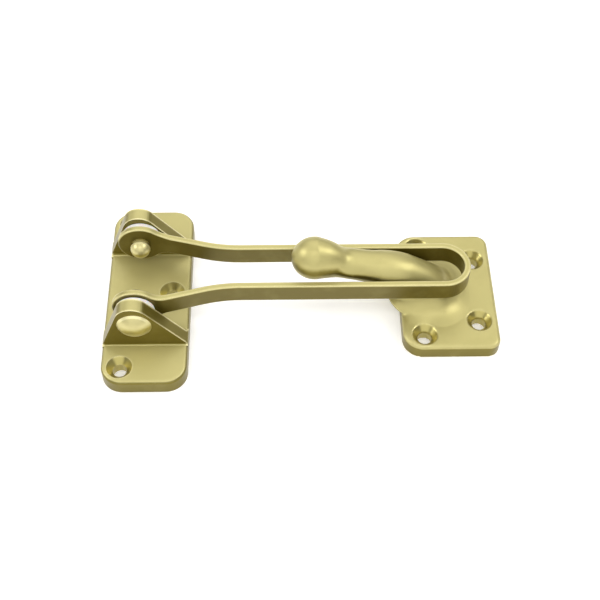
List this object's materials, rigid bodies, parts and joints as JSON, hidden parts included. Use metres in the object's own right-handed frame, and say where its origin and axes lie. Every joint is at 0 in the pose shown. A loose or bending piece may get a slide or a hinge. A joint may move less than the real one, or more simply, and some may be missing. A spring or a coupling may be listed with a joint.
{
  "type": "door guard",
  "caption": "Swing-bar door guard: a U-shaped bar pivots between the ears of a hinge plate, and a keeper's necked knob rises through its slot.",
  "frame": {"origin": "centre of the hinge plate's back face", "axes": "+X along the bar from its pivots to its closed end, +Z out from the door, +Y across, from the near ear to the far ear"},
  "size_m": [0.1302, 0.0716, 0.0311],
  "materials": {
    "cast_brass": "satin",
    "bar_brass": "satin",
    "rivet_brass": "satin",
    "spacer_nylon": "matte white"
  },
  "bodies": {
    "fixed_plates": {"hinge_plate": "cast_brass", "pivot_rivet_near": "rivet_brass", "pivot_rivet_far": "rivet_brass", "spacer_near": "spacer_nylon", "spacer_far": "spacer_nylon", "keeper": "cast_brass"},
    "bar": {"swing_bar": "bar_brass"}
  },
  "joints": [
    {"name": "bar_swing", "type": "hinge", "parent": "fixed_plates", "child": "bar", "pos_m": [-0.0025, 0, 0.0161], "axis": [0, -1, 0], "range_deg": [0, 180]}
  ]
}
